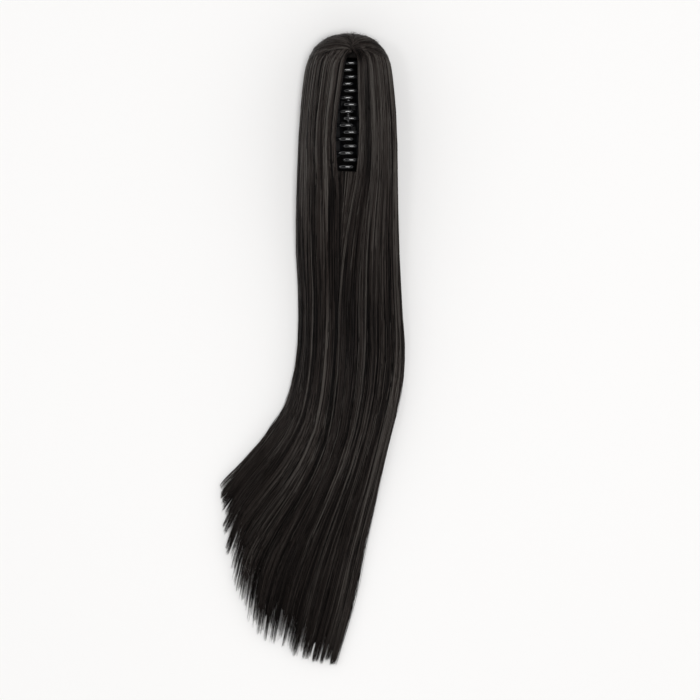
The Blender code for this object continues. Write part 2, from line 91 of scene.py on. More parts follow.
VIEW_CENTRE = (0.0366, -0.0014)  # place of the camera over the floor

# The claw and the room that the hair leaves it
CLAW_CENTRE = Vector((35.0, 217.5, 21.0)) * MM  # middle of the pin's axis
POCKET_RADIUS = 30.0 * MM
TOOTH_RADIUS = 28.45 * MM  # from the pin's axis to the middle of a tooth
TOOTH_DIP = 0.9 * MM  # how much nearer to the axis its tip is
TOOTH_HALF_WIDTH = 2.0 * MM
TOOTH_HALF_THICKNESS = 1.3 * MM

# The form of the hair
HAIR_GAP = 0.35 * MM  # between the wefts
BACK_HEIGHT = 3.35 * MM  # of the back layer at y = 0
BACK_SLOPE = 0.0056
DOME_POWER = 2.4  # 2 is an ellipse, more is squarer
EDGE_CROWDING = 1.35  # how much narrower the locks get towards the outer edge
LOCKS = {-1: 7, 1: 8}  # broad locks in the left and the right side
LOCK_RIDGE = 2.4 * MM
LOCK_FULL_HEIGHT = 12.0 * MM  # the ridges are lower where the hair is thinner than this
EDGE_THICKNESS = 1.5 * MM
TIP_BOW = 8.0 * MM  # how far the line of the tips bows outwards
BOW_START = 16  # row from which it does so

# The mass of hair under the strands
LIP_COLUMNS = 7  # columns round the lip of the slot, or over the parting
CORE_COLUMNS = 150
CORE_FLOOR_COLUMNS = 20
CORE_END = 17.6  # last row of the mass, before each of its lines is stretched to an end of its own
RAGGED_FROM = 15  # row from which the lines are stretched
MASS_DEPTH = 0.3 * MM  # of the mass under the form of the hair
TIP_SINK = 1.3 * MM  # how much deeper it lies near the tips
FINE_RIDGES = 70  # fine ridges across the mass of one side
FINE_RIDGE = 0.35 * MM
NOTCHES = 90  # fine notches in the end of the mass of one side

# The strands
STRAND_FLOOR = 0.35 * MM  # strands keep this high over the floor
LIP_CLEARANCE = 0.055  # share of a side's width that its strands stay back from the lip of the slot
SIDE_LIFT = 1.3 * MM  # how high the side strands lie at most over the form of the hair
# Points along a strand
POINTS = {"sides": 24, "parting": 22, "back": 22, "ends": 9, "crown": 10, "fibres": 6, "strays": 12}
CLUMPS = 19  # pointed locks at the tips of one side
PARTING_LOCKS = 60  # fine locks on each side of the parting
BACK_LOCKS = 300
END_LOCKS = 340  # fine locks at the tips of each side
CROWN_LOCKS = 200  # fine locks on each side of the crown
CROWN_FIBRES = 520
SHADE_ROWS = (0, 4, 8, 10.5, 12.5, 14, 15.5, 17, 19)
SHADES = (-0.02, 0.04, 0.03, -0.1, -0.3, -0.24, -0.02, -0.04, -0.18)  # painted light and shade added to the tone at those rows
HOLLOW_CENTRE = (39.5 * MM, 273.0 * MM)  # of the painted shade in the hollow between the whorl and the slot
HOLLOW_REACH = (8.5 * MM, 5.5 * MM)
GROOVE_SHADE = (  # side, rows and places across of the painted shade in the grooves between locks
    (-1, (7.0, 8.2, 10.0, 12.5), (0.09, 0.14, 0.22, 0.35)),
    (1, (4.4, 5.4, 6.7, 8.0), (0.77, 0.85, 0.92, 0.95)),
    (1, (4.2, 5.2, 6.5, 9.0), (0.27, 0.25, 0.24, 0.25)),
)


def between(column, t):
    """Smooth values of one column of STATIONS at the row numbers t, in metres."""
    values = STATIONS[:, COLUMNS.index(column)] * MM
    i = np.clip(np.floor(t).astype(int), 0, LAST_ROW - 1)
    s = t - i
    a, b, c, d = (values[np.clip(i + k, 0, LAST_ROW)] for k in (-1, 0, 1, 2))
    bend = 2 * a - 5 * b + 4 * c - d
    return 0.5 * (2 * b + (c - a) * s + bend * s**2 + (3 * b - a - 3 * c + d) * s**3)


def plan_point(name, t):
    return np.stack((between(name + "_x", t), between(name + "_y", t)), -1)


def joint_height(y):
    """Height of the joint between the back layer and the two sides."""
    return BACK_HEIGHT + BACK_SLOPE * y


def side_plan(side, u, t):
    """Plan position in one side: u is 0 at the lip of the slot and 1 at the outer edge."""
    inner = plan_point("mid", t)
    inner[..., 0] += side * between("lip_" + NAMES[side], t)
    outer = plan_point(NAMES[side], t)
    bow = TIP_BOW * smooth((t - BOW_START) / 2) * np.clip(4 * u * (1 - u), 0, 1)
    span = outer - inner
    aside = np.stack((-span[..., 1], span[..., 0]), -1) / np.linalg.norm(span, axis=-1)[..., None]
    return inner + span * u[..., None] - side * aside * bow[..., None]


def smooth(x):
    x = np.clip(x, 0.0, 1.0)
    return x * x * (3 - 2 * x)


def ridges(side, u, t):
    """Height of the broad locks over the dome, from -1 to 1, at u and t."""
    locks = LOCKS[side]
    lines = np.arange(locks + 1.0)
    wander = 0.25 / locks * np.sin(1.9 * lines + 0.55 * t[..., None])
    wander[..., 0] = wander[..., -1] = 0.0
    places = 1 - (1 - lines / locks) ** EDGE_CROWDING + wander
    lock = np.clip((places <= u[..., None]).sum(-1) - 1, 0, locks - 1)[..., None]
    first = np.take_along_axis(places, lock, -1)[..., 0]
    last = np.take_along_axis(places, lock + 1, -1)[..., 0]
    share = np.clip((u - first) / (last - first), 0.0, 1.0)
    return (np.sin(math.pi * share) - 0.5) * np.minimum(1.0, 0.35 + 0.13 * t)


def dome(place, t):
    """Height of the hair's top above plan positions, and its outward direction there."""
    middle, left, right = (plan_point(name, t) for name in ("mid", "left", "right"))
    to_left, to_right, to_place = left - middle, right - middle, place - middle
    span_left, span_right = (np.linalg.norm(v, axis=-1) for v in (to_left, to_right))
    reach = np.linalg.norm(to_place, axis=-1)
    rightwards = (to_place * to_right).sum(-1) > (to_place * to_left).sum(-1)
    half = (span_left + span_right) / 2
    signed = (np.where(rightwards, reach, -reach) - (span_right - half)) / half
    crown = reach / np.where(rightwards, span_right, span_left)
    share = np.clip(np.where(t < SLOT_FIRST, crown, abs(signed)), 0.0, 1.0)
    lean = np.where(t < SLOT_FIRST, 1.0, np.where(rightwards, 1.0, -1.0) * np.sign(signed))
    floor = joint_height(place[..., 1])
    crest = between("crest", t) - floor
    rise = (1 - share**DOME_POWER) ** (1 / DOME_POWER)
    outward = to_place / np.maximum(reach, 1e-6)[..., None] * lean[..., None]
    flat = outward * (share ** (DOME_POWER - 1) / half)[..., None]
    normal = np.concatenate((flat, (rise ** (DOME_POWER - 1) / crest)[..., None]), -1)
    normal /= np.linalg.norm(normal, axis=-1)[..., None]
    return floor + crest * rise, normal


def top_surface(side, u, t, lift=0.0):
    """Points of the hair's top, lift above it."""
    place = side_plan(side, u, t)
    height, normal = dome(place, t)
    lower = joint_height(place[..., 1]) + HAIR_GAP / 2
    full = np.maximum(height - lower, EDGE_THICKNESS)
    ridge = LOCK_RIDGE * ridges(side, u, t) * np.minimum(1.0, full / LOCK_FULL_HEIGHT)
    height = lower + np.maximum(full + ridge, EDGE_THICKNESS)
    points = np.concatenate((place, height[..., None]), -1)
    return points + normal * np.asarray(lift)[..., None]


def under_surface(u, t, height):
    """Points of the back layer: u is -1 at the left edge and 1 at the right one."""
    middle, left, right = (plan_point(name, t) for name in ("mid", "left", "right"))
    place = middle + np.where(u[..., None] < 0, left - middle, right - middle) * abs(u)[..., None]
    return np.concatenate((place, np.broadcast_to(height, t.shape)[..., None]), -1)


def row_steps():
    """How far it is from each row of STATIONS to the next, in metres, as the mean of its three lines."""
    steps = 0.0
    for column in (0, 2, 4):
        line = STATIONS[:, column : column + 2] * MM
        steps = steps + np.linalg.norm(np.diff(line, axis=0), axis=1) / 3
    return steps


ROWS = np.arange(LAST_ROW + 1.0)
# How far along the hair each row lies
COURSE = np.concatenate(([0.0], np.cumsum(row_steps())))
CROWN_CLOSENESS = 5.0  # a strand's points are this many times closer at the crown than elsewhere
POINT_WEIGHTS = row_steps() * np.where(ROWS[:-1] < SLOT_FIRST + 1, CROWN_CLOSENESS, 1.0)
POINT_SHARES = np.concatenate(([0.0], np.cumsum(POINT_WEIGHTS))) / POINT_WEIGHTS.sum()


def rows_of(start, end, count):
    """Row numbers from start to end, an array with a line for each strand."""
    first = np.interp(start, ROWS, POINT_SHARES)
    last = np.interp(end, ROWS, POINT_SHARES)
    shares = first[:, None] + (last - first)[:, None] * np.linspace(0, 1, count)
    rows = np.interp(shares, POINT_SHARES, ROWS)
    return rows + np.maximum(end - LAST_ROW, 0.0)[:, None] * np.linspace(0, 1, count) ** 8


def wandering(random, t, reach):
    """A slow sideways wander for each line of t, up to about reach."""
    way = np.interp(t, ROWS, COURSE)
    count = (len(t), 1)
    slow = np.sin(random.uniform(4.0, 10.0, count) * way + random.uniform(0, math.tau, count))
    quick = np.sin(random.uniform(14.0, 30.0, count) * way + random.uniform(0, math.tau, count))
    return reach * (0.7 * slow + 0.3 * quick)


class Clumps:
    """Where the ends of one side draw together into pointed locks of different lengths."""

    def __init__(self, side, seed):
        random = np.random.default_rng(seed + 100 + side)
        self.middles = (np.arange(CLUMPS) + random.uniform(0.2, 0.8, CLUMPS)) / CLUMPS
        self.half = 0.5 / CLUMPS
        short = 0.45 * random.uniform(0, 1, CLUMPS) ** 1.5 * (1 - self.middles**5)
        self.ends = LAST_ROW + 0.1 - short
        self.starts = random.uniform(16.0, 17.4, CLUMPS)
        self.pull = random.uniform(0.05, 0.5, CLUMPS)
        self.notches = 0.3 * random.uniform(0, 1, NOTCHES)
        self.shorter = 0.3 if side > 0 else 0.8
        self.thinned = (0.55, 2.0) if side > 0 else (1.2, 1.2)

    def nearest(self, u):
        return abs(self.middles - u[..., None]).argmin(-1)

    def end(self, u, random):
        """Row at which a strand of a clump ends: the middle one is the longest."""
        clump = self.nearest(u)
        aside = np.minimum(abs(u - self.middles[clump]) / self.half, 1.5)
        reach, power = self.thinned
        short = reach * random.uniform(0, 1, len(u)) ** power
        return self.ends[clump] - 0.12 * aside - short * (1 - 0.7 * u**6)

    def core_end(self, u):
        """Row at which the mass under the strands ends."""
        knots = np.linspace(0, 1, NOTCHES)
        whole = np.interp(u, self.middles, self.ends - self.shorter * (1 - 0.6 * self.middles**6))
        return whole - np.interp(u, knots, self.notches)

    def gathered(self, u, t):
        """u drawn towards the middle of its clump, the more the nearer to the tips."""
        clump = self.nearest(u)
        first = self.starts[clump]
        pull = self.pull[clump] * smooth((t - first) / (LAST_ROW - first)) ** 2
        return u + (self.middles[clump] - u) * pull


class Value:
    """An output of a node, with the arithmetic that adds its Math nodes."""

    def __init__(self, tree, socket):
        self.tree = tree
        self.socket = socket

    def _math(self, operation, first, second=0.0):
        settings = {"operation": operation}
        return self.tree.add("ShaderNodeMath", settings, {0: first, 1: second})

    def __add__(self, other):
        return self._math("ADD", self, other)

    def __sub__(self, other):
        return self._math("SUBTRACT", self, other)

    def __mul__(self, other):
        return self._math("MULTIPLY", self, other)

    def __pow__(self, other):
        return self._math("POWER", self, other)

    def __rsub__(self, other):
        return self._math("SUBTRACT", other, self)

    def at_least(self, other):
        return self._math("MAXIMUM", self, other)

    def at_most(self, other):
        return self._math("MINIMUM", self, other)

    def sine(self):
        return self._math("SINE", self)

    __radd__ = __add__
    __rmul__ = __mul__


class Tree:
    """Adds nodes to a shader or geometry tree, and hands on one output of each."""

    def __init__(self, nodes):
        self.nodes = nodes

    def add(self, kind, settings=None, inputs=None, output=0):
        node = self.nodes.nodes.new(kind)
        for name, value in (settings or {}).items():
            if name == "stops":
                self._set_stops(node.color_ramp, value)
            else:
                setattr(node, name, value)
        for name, value in (inputs or {}).items():
            self.feed(node, name, value)
        return Value(self, self._socket(node.outputs, output)) if node.outputs else None

    def split(self, vector):
        """The X, Y and Z of a vector."""
        first = self.add("ShaderNodeSeparateXYZ", {}, {0: vector})
        return [Value(self, socket) for socket in first.socket.node.outputs]

    @staticmethod
    def _socket(sockets, name):
        if isinstance(name, int):
            return sockets[name]
        return next(s for s in sockets if s.name == name and s.enabled)

    def feed(self, node, name, value):
        """Sets or links one input of a node."""
        self._plug(self._socket(node.inputs, name), value)

    def _plug(self, socket, value):
        if isinstance(value, Value):
            self.nodes.links.new(value.socket, socket)
        else:
            socket.default_value = value

    @staticmethod
    def _set_stops(ramp, stops):
        while len(ramp.elements) < len(stops):
            ramp.elements.new(0.5)
        for element, (position, colour) in zip(ramp.elements, stops):
            element.position = position
            element.color = (*colour, 1.0)


def new_material(name, **constants):
    """A material with a Principled shader whose sockets are set, and its tree."""
    made = bpy.data.materials.new(name)
    made.use_nodes = True
    tree = Tree(made.node_tree)
    shader = made.node_tree.nodes["Principled BSDF"]
    for socket, value in constants.items():
        shader.inputs[socket.replace("_", " ").title().replace("Ior", "IOR")].default_value = value
    return made, tree, shader


def attribute(tree, name, output="Fac"):
    return tree.add("ShaderNodeAttribute", {"attribute_name": name}, output=output)


def noise(tree, place, scale, detail, settings=None, output=0):
    """Noise of a scale and detail at a place."""
    inputs = {"Vector": place, "Scale": scale, "Detail": detail}
    return tree.add("ShaderNodeTexNoise", settings, inputs, output)


def bump(tree, shader, height, strength, depth):
    """Bends the shader's normal by a height."""
    inputs = {"Strength": strength, "Distance": depth, "Height": height}
    tree.feed(shader, "Normal", tree.add("ShaderNodeBump", {}, inputs))


def strand_material(look):
    """Hair whose strands and locks differ in tone from each other and along their course; the lock tone
    also carries painted light and shade.
    """
    made, tree, shader = new_material(
        "hair_strands", specular_ior_level=look.sheen, coat_roughness=0.3
    )
    lock, strand, along = (attribute(tree, name) for name in ("lock_tone", "tone", "along"))
    place = tree.add("ShaderNodeCombineXYZ", {}, {0: along * 40.0, 1: strand * 60.0})
    grain = noise(tree, place, 1.0, 2.0, {"noise_dimensions": "2D"})
    tone = lock * 0.85 + strand * 0.4 + grain * 0.3 - 0.27
    stops = (
        (0.0, tuple(0.3 * c for c in look.dark_colour)),
        (0.3, tuple(look.dark_colour)),
        (0.6, tuple(look.warm_colour)),
        (1.0, tuple(look.ash_colour)),
    )
    tree.feed(shader, "Base Color", tree.add("ShaderNodeValToRGB", {"stops": stops}, {"Fac": tone}))
    tree.feed(shader, "Roughness", look.roughness + 0.18 * (strand - 0.5))
    tree.feed(shader, "Coat Weight", look.gloss * tone.at_least(0.0) ** 2.0)
    return made


def core_material(look):
    """The mass of hair under the loose strands: streaks that follow the flow."""
    made, tree, shader = new_material("hair_mass", specular_ior_level=look.sheen)
    flow = attribute(tree, "flow", "Vector")
    streaks = []
    for across, along in ((420.0, 1.1), (130.0, 0.6)):
        stretched = tree.add("ShaderNodeMapping", {}, {"Vector": flow, "Scale": (across, along, 1.0)})
        streaks.append(noise(tree, stretched, 1.0, 3.0))
    tone = streaks[0] * 0.6 + streaks[1] * 0.6 - 0.2
    stops = (
        (0.2, tuple(0.2 * c for c in look.dark_colour)),
        (0.55, tuple(look.dark_colour)),
        (0.85, tuple(0.6 * c for c in look.warm_colour)),
    )
    tree.feed(shader, "Base Color", tree.add("ShaderNodeValToRGB", {"stops": stops}, {"Fac": tone}))
    tree.feed(shader, "Roughness", 0.4 + 0.3 * streaks[1])
    bump(tree, shader, streaks[0], 0.7, 0.6 * MM)
    return made


def new_group(name, sockets):
    """A Geometry Nodes group, its tree and its inputs, by rows of name, way, kind and default."""
    group = bpy.data.node_groups.new(name, "GeometryNodeTree")
    for title, way, kind, value in sockets:
        socket = group.interface.new_socket(title, in_out=way, socket_type="NodeSocket" + kind)
        if value is not None:
            socket.default_value = value
    tree = Tree(group)
    entry = tree.add("NodeGroupInput").socket.node
    return group, tree, {socket.name: Value(tree, socket) for socket in entry.outputs if socket.name}


def strand_tree():
    """Geometry Nodes: lays several strands round each guide line and gives them their thickness."""
    sockets = (
        ("Guides", "INPUT", "Geometry", None),
        ("Strands per Lock", "INPUT", "Int", 4),
        ("Spread", "INPUT", "Float", 1.0 * MM),
        ("Wave", "INPUT", "Float", 0.6 * MM),
        ("Width", "INPUT", "Float", 0.6 * MM),
        ("Sides", "INPUT", "Int", 3),
        ("Seed", "INPUT", "Int", 0),
        ("Finish", "INPUT", "Material", None),
        ("Hair", "OUTPUT", "Geometry", None),
    )
    group, tree, given = new_group("Strands", sockets)
    curves = tree.add("GeometryNodeMeshToCurve", {}, {"Mesh": given["Guides"]})
    inputs = {"Geometry": curves, "Amount": given["Strands per Lock"]}
    curves = tree.add("GeometryNodeDuplicateElements", {"domain": "SPLINE"}, inputs)

    def per_strand(kind, low, high, shift):
        number = tree.add("GeometryNodeInputIndex")
        settings = {"data_type": kind}
        inputs = {"Min": low, "Max": high, "ID": number, "Seed": given["Seed"] + float(shift)}
        chosen = tree.add("FunctionNodeRandomValue", settings, inputs, output="Value")
        settings = {"domain": "CURVE", "data_type": kind}
        return tree.add("GeometryNodeFieldOnDomain", settings, {"Value": chosen}, output="Value")

    settings = {"data_type": "FLOAT"}
    along = tree.add("GeometryNodeInputNamedAttribute", settings, {"Name": "along"}, "Attribute")
    place = tree.add("GeometryNodeInputPosition")

    def scaled(vector, factor):
        inputs = {"Vector": vector, "Scale": factor}
        return tree.add("ShaderNodeVectorMath", {"operation": "SCALE"}, inputs, output="Vector")

    def joined(operation, first, second):
        return tree.add("ShaderNodeVectorMath", {"operation": operation}, {0: first, 1: second})

    aside = per_strand("FLOAT_VECTOR", (-1.0, -1.0, -1.0), (1.0, 1.0, 1.0), 1)
    phase = per_strand("FLOAT_VECTOR", (0.0, 0.0, 0.0), (9.0, 9.0, 9.0), 2)
    opened = 0.45 + 0.55 * (along * math.pi).sine()
    aside = scaled(aside, given["Spread"] * opened)
    sway = noise(tree, joined("ADD", place, phase), 14.0, 1.0, output="Color")
    sway = joined("SUBTRACT", sway, (0.5, 0.5, 0.5))
    sway = scaled(sway, given["Wave"] * 2.0 * (along * 8.0).at_most(1.0))
    inputs = {"Geometry": curves, "Offset": joined("ADD", aside, sway)}
    curves = tree.add("GeometryNodeSetPosition", {}, inputs)
    x, y, z = tree.split(tree.add("GeometryNodeInputPosition"))
    kept = tree.add("ShaderNodeCombineXYZ", {}, {0: x, 1: y, 2: z.at_least(STRAND_FLOOR)})
    curves = tree.add("GeometryNodeSetPosition", {}, {"Geometry": curves, "Position": kept})
    settings = {"data_type": "FLOAT", "domain": "CURVE"}
    inputs = {"Geometry": curves, "Name": "tone", "Value": per_strand("FLOAT", 0.0, 1.0, 3)}
    curves = tree.add("GeometryNodeStoreNamedAttribute", settings, inputs)
    taper = 1.0 - (along**6.0) * 0.85
    radius = given["Width"] * 0.5 * per_strand("FLOAT", 0.65, 1.35, 4) * taper
    inputs = {"Resolution": given["Sides"], "Radius": 1.0}
    profile = tree.add("GeometryNodeCurvePrimitiveCircle", {"mode": "RADIUS"}, inputs)
    inputs = {"Curve": curves, "Profile Curve": profile, "Scale": radius, "Fill Caps": True}
    tubes = tree.add("GeometryNodeCurveToMesh", {}, inputs)
    tubes = tree.add("GeometryNodeSetShadeSmooth", {}, {0: tubes})
    tubes = tree.add("GeometryNodeRealizeInstances", {}, {0: tubes})
    tubes = tree.add("GeometryNodeSetMaterial", {}, {"Geometry": tubes, "Material": given["Finish"]})
    tree.add("NodeGroupOutput", {}, {"Hair": tubes})
    return group


def placed(name, data):
    """A new object in the scene."""
    made = bpy.data.objects.new(name, data)
    bpy.context.scene.collection.objects.link(made)
    return made


def places_of(mesh):
    """The mesh's vertices as rows of x, y and z."""
    points = np.zeros(len(mesh.vertices) * 3)
    mesh.vertices.foreach_get("co", points)
    return points.reshape(-1, 3)


def guide_object(name, lines, tones):
    """An object whose edges are guide lines: lines has a point for each strand and place along it."""
    count, points, _ = lines.shape
    first = np.arange(count)[:, None] * points + np.arange(points - 1)
    edges = np.stack((first, first + 1), -1).reshape(-1, 2)
    mesh = bpy.data.meshes.new(name)
    mesh.from_pydata(lines.reshape(-1, 3).tolist(), edges.tolist(), [])
    along = np.tile(np.linspace(0, 1, points), count)
    tones = np.broadcast_to(tones if tones.ndim == 2 else tones[:, None], (count, points)).ravel()
    for key, values in (("along", along), ("lock_tone", tones)):
        mesh.attributes.new(key, "FLOAT", "POINT").data.foreach_set("value", values)
    return placed(name, mesh)


def grow(look, name, lines, tones, shift, changed=None):
    """Turns guide lines into a finished piece of hair, by the look's settings save what is changed."""
    guides = guide_object(name + "_guides", lines, tones)
    modifier = guides.modifiers.new("Strands", "NODES")
    modifier.node_group = bpy.data.node_groups.get("Strands") or strand_tree()
    values = {
        "Strands per Lock": look.strands,
        "Spread": look.spread,
        "Wave": look.wave,
        "Width": look.width,
        "Seed": look.seed + shift,
        "Finish": bpy.data.materials.get("hair_strands") or strand_material(look),
    }
    settle(baked(guides, modifier, {**values, **(changed or {})}, name))


def baked(source, modifier, values, name):
    """A plain mesh object in place of a source with a Geometry Nodes modifier."""
    for item in modifier.node_group.interface.items_tree:
        if item.in_out == "INPUT" and item.name in values:
            modifier[item.identifier] = values[item.name]
    shown = source.evaluated_get(bpy.context.evaluated_depsgraph_get())
    mesh = bpy.data.meshes.new_from_object(shown)
    mesh.name = name
    first = source.data
    bpy.data.objects.remove(source)
    bpy.data.meshes.remove(first)
    return placed(name, mesh)


def settle(made):
    """The piece is hair: it rides on the hair's body."""
    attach(made, "hair")


def side_core(side, finish, seed):
    """One side of the hair as a closed form, lobed by its locks, hollow round the claw."""
    random = np.random.default_rng(seed)
    above, below = (0, SLOT_FIRST - 0.02, 22), (SLOT_LAST + 0.02, CORE_END, 60)
    stretches = (above, (SLOT_FIRST, SLOT_LAST, 22), below)
    rows = np.concatenate([np.linspace(*stretch) for stretch in stretches])
    u = 1 - (1 - np.linspace(0, 1, CORE_COLUMNS)) ** 1.7
    t, across = np.meshgrid(rows, u, indexing="ij")
    t = ragged(t, Clumps(side, seed - side).core_end(across))
    knots = np.linspace(0, 1, FINE_RIDGES)
    fine = sum(
        np.interp(across + 0.01 * np.sin(0.4 * t + k), knots, random.uniform(-1, 1, FINE_RIDGES))
        for k in range(2)
    )
    sink = MASS_DEPTH + TIP_SINK * smooth((t - RAGGED_FROM) / (CORE_END - RAGGED_FROM))
    top = top_surface(side, across, t, FINE_RIDGE * fine - sink)
    middle = plan_point("mid", rows)
    lip = between("lip_" + NAMES[side], rows)
    open_row = (rows >= SLOT_FIRST) & (rows <= SLOT_LAST)
    edge = np.zeros((len(rows), LIP_COLUMNS, 3))
    share = np.linspace(0, 1, LIP_COLUMNS, endpoint=False)
    beside = middle + np.array((side * HAIR_GAP / 2, 0.0))
    crest, _ = dome(beside, rows)
    start = np.column_stack((beside, crest - 0.8 * MM))
    pocket_top = CLAW_CENTRE.z + np.sqrt(POCKET_RADIUS**2 - lip**2)
    for i in range(len(rows)):
        if open_row[i]:
            low = np.array((top[i, 0, 0], top[i, 0, 1], pocket_top[i]))
            edge[i] = low + (top[i, 0] - low) * share[:, None]
        else:
            edge[i] = start[i] + (top[i, 0] - start[i]) * share[:, None]
    upper = np.concatenate((edge, top), 1)
    count = upper.shape[1]
    lower = upper.copy()
    lower[..., 2] = joint_height(lower[..., 1]) + HAIR_GAP / 2
    arc = count - CORE_FLOOR_COLUMNS
    outer = plan_point(NAMES[side], rows)
    for i in np.flatnonzero(open_row):
        angle = math.acos(lip[i] / POCKET_RADIUS) * (1 - np.arange(arc) / (arc - 1))
        reach = np.concatenate(
            (
                POCKET_RADIUS * np.cos(angle),
                np.linspace(POCKET_RADIUS, abs(outer[i, 0] - CLAW_CENTRE.x), CORE_FLOOR_COLUMNS + 1)[1:],
            )
        )
        y = middle[i, 1] + (outer[i, 1] - middle[i, 1]) * (reach - reach[0]) / (reach[-1] - reach[0])
        height = joint_height(y) + HAIR_GAP / 2
        height[:arc] = CLAW_CENTRE.z + POCKET_RADIUS * np.sin(angle)
        lower[i] = np.stack((CLAW_CENTRE.x + side * reach, y, height), -1)
    lower[..., 2] = np.minimum(lower[..., 2], upper[..., 2] - 0.2 * MM)
    flow_u = np.concatenate((np.linspace(-0.08, 0, LIP_COLUMNS, endpoint=False), u))
    return shell("hair_mass_" + NAMES[side], upper, lower, rows, flow_u, finish)


def ragged(t, ends):
    """Row numbers t, stretched so that each line ends at its own row."""
    past = (t - RAGGED_FROM) / (CORE_END - RAGGED_FROM)
    return np.where(t > RAGGED_FROM, RAGGED_FROM + past * (ends - RAGGED_FROM), t)


def back_core(finish, seed):
    """The layer that the piece lies on, grooved underneath."""
    rows = np.concatenate((np.linspace(0, 4, 16), np.linspace(4.4, CORE_END, 60)))
    u = np.linspace(-1, 1, 121)
    t, across = np.meshgrid(rows, u, indexing="ij")
    ends = [Clumps(side, seed).core_end(abs(across)) for side in (-1, 1)]
    t = ragged(t, np.where(across < 0, *ends) - 0.15)
    upper = under_surface(across * 0.985, t, 0.0)
    upper[..., 2] = joint_height(upper[..., 1]) - HAIR_GAP / 2
    lower = upper.copy()
    lower[..., 2] = (0.9 + 0.3 * np.cos(across * 60 + 2 * np.sin(0.4 * t))) * MM
    return shell("hair_mass_back", upper, lower, rows, u, finish)


def shell(name, upper, lower, rows, flow_u, finish):
    """A closed mesh between two grids of points, with the flow of the hair as an attribute."""
    lines, count, _ = upper.shape
    number = np.arange(lines * count).reshape(lines, count)
    a, b, c, d = number[:-1, :-1], number[:-1, 1:], number[1:, 1:], number[1:, :-1]
    faces = np.stack((a, b, c, d), -1).reshape(-1, 4)
    below = faces[:, ::-1] + lines * count
    around = np.concatenate((number[0, ::-1], number[1:, 0], number[-1, 1:], number[-2:0:-1, -1]))
    following = np.roll(around, -1)
    rim = np.stack((around, around + lines * count, following + lines * count, following), -1)
    faces = np.concatenate((faces, below, rim))
    points = np.concatenate((upper.reshape(-1, 3), lower.reshape(-1, 3)))
    mesh = bpy.data.meshes.new(name)
    mesh.from_pydata(points.tolist(), [], faces.tolist())
    flow = np.zeros((2, lines, count, 3))
    flow[..., 0] = flow_u
    flow[..., 1] = rows[:, None]
    flow[1, ..., 2] = 3.0
    mesh.attributes.new("flow", "FLOAT_VECTOR", "POINT").data.foreach_set("vector", flow.ravel())
    mesh.shade_smooth()
    mesh.materials.append(finish)
    made = placed(name, mesh)
    outwards(mesh)
    settle(made)
    return made


def outwards(mesh):
    """Turns the faces of a closed mesh outwards."""
    mesh.calc_loop_triangles()
    corners = np.zeros(len(mesh.loop_triangles) * 3, int)
    mesh.loop_triangles.foreach_get("vertices", corners)
    a, b, c = places_of(mesh)[corners.reshape(-1, 3)].transpose(1, 0, 2)
    if (a * np.cross(b, c)).sum() < 0:
        mesh.flip_normals()


class HairSettings(bpy.types.PropertyGroup):
    dark_colour: FloatVectorProperty(
        name="Dark Colour", description="Colour of most strands", subtype="COLOR", size=3,
        min=0.0, max=1.0, default=(0.0082, 0.0068, 0.0064),
    )
    warm_colour: FloatVectorProperty(
        name="Warm Colour", description="Colour of the brownish strands", subtype="COLOR", size=3,
        min=0.0, max=1.0, default=(0.027, 0.0205, 0.0182),
    )
    ash_colour: FloatVectorProperty(
        name="Ash Colour", description="Colour of the lightest strands", subtype="COLOR", size=3,
        min=0.0, max=1.0, default=(0.078, 0.070, 0.063),
    )
    roughness: FloatProperty(
        name="Roughness", description="Mean roughness of the strands", min=0.0, max=1.0, default=0.38
    )
    sheen: FloatProperty(
        name="Sheen", description="Specular level of the strands", min=0.0, max=1.0, default=0.05
    )
    gloss: FloatProperty(
        name="Gloss", description="Coat of the lightest strands", min=0.0, max=1.0, default=0.2
    )
    locks: IntProperty(
        name="Locks", description="Fine locks laid over one side", min=20, max=600, default=350
    )
    strands: IntProperty(
        name="Strands per Lock", description="Strands in a fine lock", min=1, max=12, default=4
    )
    width: FloatProperty(
        name="Strand Width", description="Mean thickness of a strand", subtype="DISTANCE",
        unit="LENGTH", min=0.1 * MM, max=3 * MM, default=0.62 * MM,
    )
    spread: FloatProperty(
        name="Lock Spread", description="How far a strand lies from the line of its lock",
        subtype="DISTANCE", unit="LENGTH", min=0.0, max=5 * MM, default=1.1 * MM,
    )
    wave: FloatProperty(
        name="Wave", description="How far strands sway from a straight course",
        subtype="DISTANCE", unit="LENGTH", min=0.0, max=5 * MM, default=0.9 * MM,
    )
    seed: IntProperty(name="Seed", description="Seed of all that is random", default=7)


class ClawSettings(bpy.types.PropertyGroup):
    teeth: IntProperty(name="Teeth", description="Teeth on each jaw", min=1, max=20, default=8)
    pitch: FloatProperty(
        name="Tooth Pitch", description="Distance between neighbouring teeth of a jaw",
        subtype="DISTANCE", unit="LENGTH", min=1 * MM, max=50 * MM, default=12.9 * MM,
    )
    plastic_colour: FloatVectorProperty(
        name="Plastic Colour", description="Colour of the jaws", subtype="COLOR", size=3,
        min=0.0, max=1.0, default=(0.006, 0.006, 0.007),
    )
    plastic_roughness: FloatProperty(
        name="Plastic Roughness", description="Roughness of the jaws", min=0.0, max=1.0, default=0.1
    )
    # Darker than bare steel, as painted shade where the pin and the spring lie under the teeth
    shaded_steel_colour: FloatVectorProperty(
        name="Steel Colour", description="Colour of the pin and the spring", subtype="COLOR", size=3,
        min=0.0, max=1.0, default=(0.16, 0.16, 0.165),
    )


